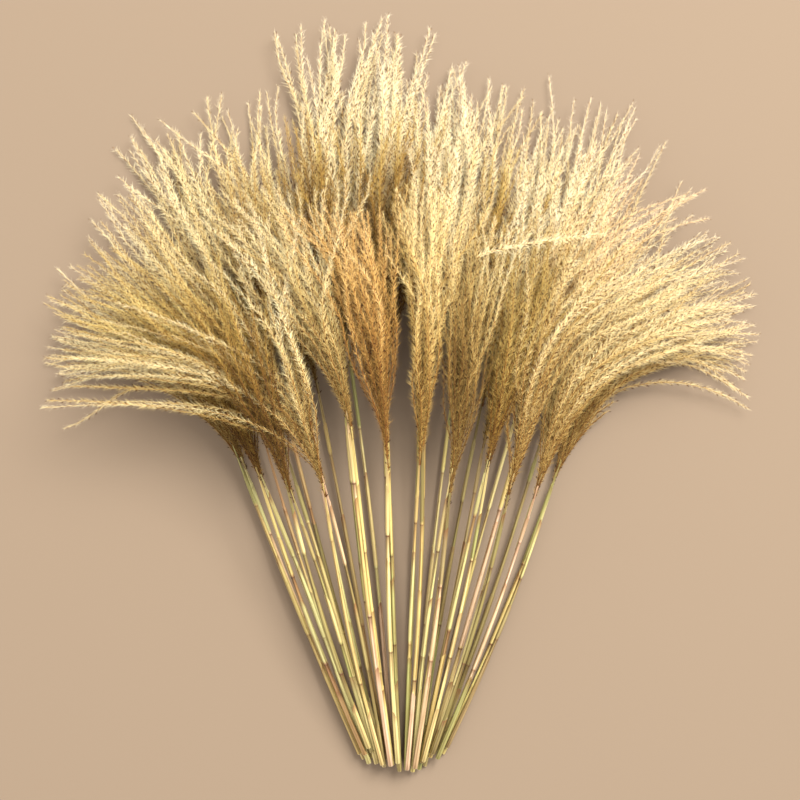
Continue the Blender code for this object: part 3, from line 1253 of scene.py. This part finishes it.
def cane_rings(length, joints, radius, dice):
    """Rings from the cut end up: (distance, radius, colour, slant)."""
    def thick(at):
        tapered = 1.0 - (1.0 - THIN_TOP) * ease((at - length + THINNING) / THINNING)
        return radius * (1.0 + (STEM_TOP_SHARE - 1.0) * at / length) * tapered

    rings = cut_rings(thick(0))
    marks = [0.0] + [joint * length for joint in joints] + [length]
    bare = dice.choice(CANE_COLOURS)
    for low, high in zip(marks, marks[1:]):
        bare = toward(bare, dice.choice(CANE_COLOURS), dice.choice(COLOUR_STEPS))
        wrapped = toward(bare, dice.choice(CANE_COLOURS), dice.choice(COLOUR_STEPS))
        marked = dice.uniform(*JOINT_MARK)
        ends = low + (high - low) * dice.uniform(*(LAST_SHEATH_SHARE if high == length else SHEATH_SHARE))
        at = low + (JOINT_HALF + OVER_JOINT if low else OVER_CUT)
        while at < high - JOINT_HALF - UNDER_JOINT:
            covered = at < ends - SHEATH_SLANT - TORN
            clear = abs(at - ends) > SHEATH_SLANT + TORN
            if clear:
                colour = toward(wrapped if covered else bare, TORN_COLOUR, dice.uniform(0.0, WEATHERED))
                near = max(0.0, 1.0 - (high - at) / DARK_LENGTH)
                colour = toward(colour, TORN_COLOUR, DARK_SHARE * near * near)
                rings.append((at, thick(at) + (SHEATH_THICKNESS if covered else 0.0), colour, 0.0))
            elif not any(ring[3] for ring in rings[-2:]):
                rings += sheath_end(ends, thick(ends), wrapped, bare, dice)
            at += RING_STEP * dice.uniform(*STEP_PLAY) if clear else EDGE_STEP
        if high < length:
            rings += joint_rings(high, thick(high), bare, marked)
    return rings + [(length, thick(length), bare, 0.0), (length, 0.0, bare, 0.0)]


# %% The points of the loft
CANE_SIDES = 8


def loft_points(start, end, bow, rings, dice):
    """For each ring its distance, and for each of its points the place and the colour."""
    along = (end - start).normalized()
    sideways = along.cross(Vector((0.0, 0.0, 1.0))).normalized()
    upwards = sideways.cross(along)
    length = (end - start).length
    torn_side = dice.uniform(0.0, FULL_TURN)
    jags = [dice.uniform(-1.0, 1.0) * TORN for _ in range(CANE_SIDES)]
    for at, radius, colour, slant in rings:
        row = []
        for side in range(CANE_SIDES if radius else 1):
            turn = FULL_TURN * side / CANE_SIDES
            moved = at + slant * math.cos(turn - torn_side) + (jags[side] if slant else 0.0)
            share = clamp(moved / length)
            centre = start + along * moved + sideways * (bow * math.sin(math.pi * share))
            point = centre + (sideways * math.cos(turn) + upwards * math.sin(turn)) * radius
            point.z = max(0.0, point.z)
            row.append((point, screen(*colour)))
        yield at / length, row


# %% The loft
SHARP = math.radians(50)


def loft_cane(name, rows):
    """Faces between each ring and the one before. A ring of one point closes the loft."""
    points, faces, corners = [], [], []
    for at, row in rows:
        here = range(len(points), len(points) + len(row))
        points += row
        for side in range(CANE_SIDES if here.start else 0):
            left, right = side / CANE_SIDES, (side + 1) / CANE_SIDES
            face = [(before, side, left, low), (before, side + 1, right, low),
                    (here, side + 1, right, at), (here, side, left, at)]
            if len(before) == 1:
                del face[1]
            if len(here) == 1:
                del face[2]
            faces.append([ring[spot % len(ring)] for ring, spot, _, _ in face])
            corners += [corner for _, _, *corner in face]
        before, low = here, at
    data = bpy.data.meshes.new(name)
    data.from_pydata([place for place, _ in points], [], faces)
    tint = data.color_attributes.new("tint", "FLOAT_COLOR", "POINT")
    tint.data.foreach_set("color", [part for _, colour in points for part in colour])
    layer = data.uv_layers.new(name="OFBake")
    layer.uv.foreach_set("vector", [part for corner in corners for part in corner])
    data.polygons.foreach_set("use_smooth", [True] * len(faces))
    data.set_sharp_from_angle(angle=SHARP)
    data.update()
    return data


# %% [markdown]
# ## Cane skin
#
# The skin of a dry cane is smooth and a little waxy, with ribs and streaks that run along it. The
# colour comes with the loft's points, and a noise that is stretched along the cane adds the
# streaks, in the colour, in the gloss and as a slight bump. A second noise adds a few dark spots.

# %% Cane paint
STREAKS = dict(stretch=(6.0, 2.4, 0.0), detail=3.0, tone=(0.58, 0.49, 0.35), least=0.42, strength=4.0)
SPOTS = dict(stretch=(7.0, 60.0, 3.0), detail=2.0, tone=(0.45, 0.28, 0.16), least=0.64, strength=5.0)
RIB_BUMP = {"Strength": 0.25, "Distance": 0.0004}
CANE_ROUGHNESS = (0.30, 0.25)


def cane_paint():
    material, shader, parts = new_material("cane_skin")
    tint = parts.make("ShaderNodeAttribute", attribute_name="tint")
    ribs, streaked = wear(tint, parts, **STREAKS)
    wear(streaked, parts, **SPOTS)[1].into(shader.inputs["Base Color"])
    (ribs * CANE_ROUGHNESS[1] + CANE_ROUGHNESS[0]).into(shader.inputs["Roughness"])
    parts.make("ShaderNodeBump", {"Height": ribs, **RIB_BUMP}).into(shader.inputs["Normal"])
    return material


cane_skin = cane_paint()

# %% Every cane
INTO_PLUME = 0.010
CANE_THICKNESS = (0.72, 1.0)
CANE_SEEDS = 3


def grow_cane(one):
    number, order, start = one["host"]["number"], one["order"], one["start"]
    dice = random.Random(SEED * SEEDS_APART * (CANE_SEEDS + order) + number)
    line = one["end"] - start
    length = line.length + INTO_PLUME
    rings = cane_rings(length, one["joints"], STEM_RADIUS * dice.uniform(*CANE_THICKNESS), dice)
    rows = loft_points(start, start + line.normalized() * length, one["bow"], rings, dice)
    name = f"cane_{number:02d}" + "b" * order
    data = loft_cane(name, rows)
    data.materials.append(cane_skin)
    piece = put(name, data)
    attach(piece, "root")
    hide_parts(f"stem_{number:02d}")
    return len(data.polygons)


print("faces in all canes:", sum(grow_cane(one) for one in bunch))
